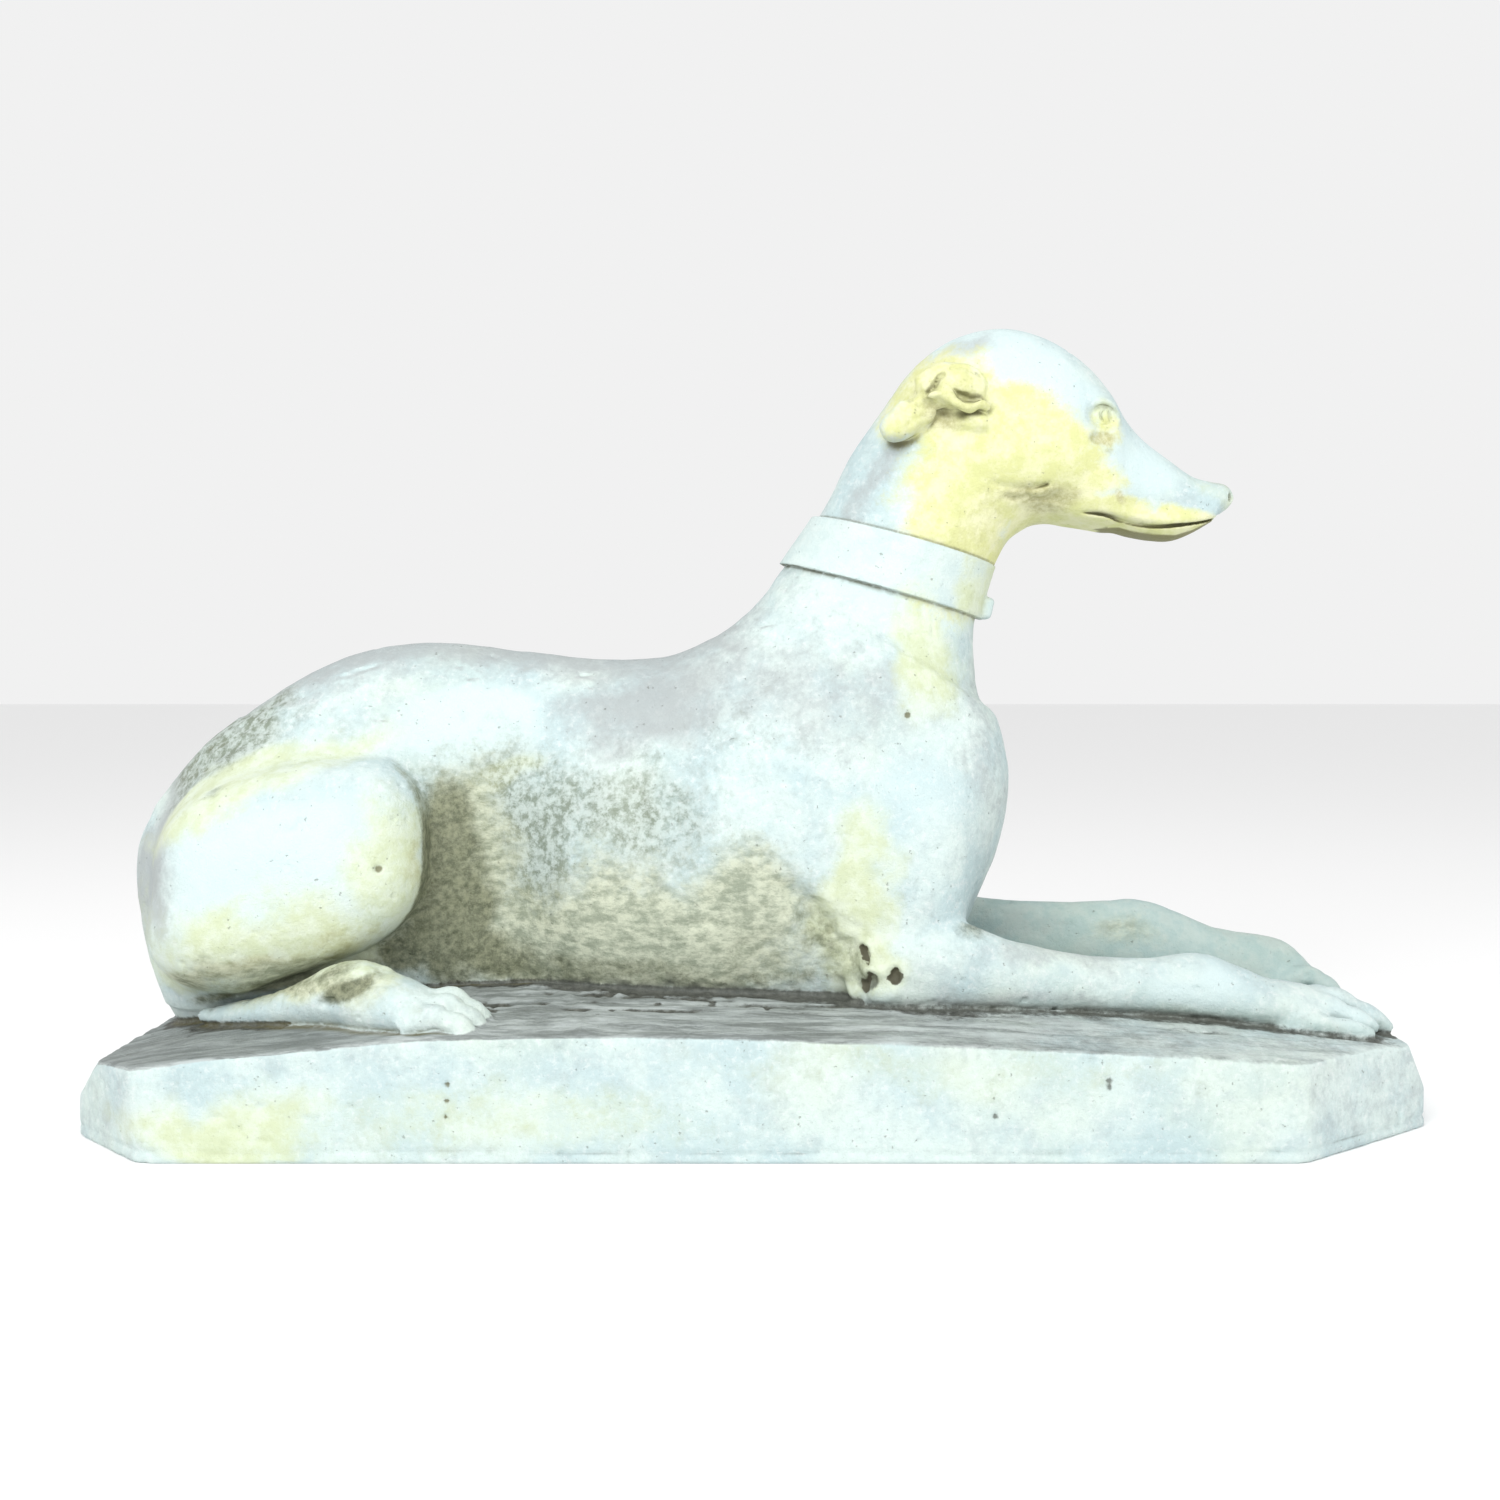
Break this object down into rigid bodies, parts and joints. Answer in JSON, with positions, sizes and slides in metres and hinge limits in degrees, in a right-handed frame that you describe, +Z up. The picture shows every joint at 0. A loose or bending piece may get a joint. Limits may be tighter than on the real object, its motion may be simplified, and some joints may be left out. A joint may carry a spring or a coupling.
{
  "type": "greyhound statue",
  "caption": "Garden statue of a collared greyhound lying alert with its head raised, cast in one with a low crowned plinth with cut corners.",
  "frame": {"origin": "middle of the plinth's bounding rectangle, on the surface it stands on", "axes": "+X from rump to forepaws, along the plinth; +Y to the dog's left, which is the side away from the picture's viewer; +Z up"},
  "size_m": [0.876, 0.32, 0.5365],
  "materials": {
    "cast_stone": "matt weathered cast stone with pale yellow staining, grey dirt and dark algae"
  },
  "bodies": {
    "root": {"greyhound_on_plinth": "cast_stone"}
  },
  "joints": []
}
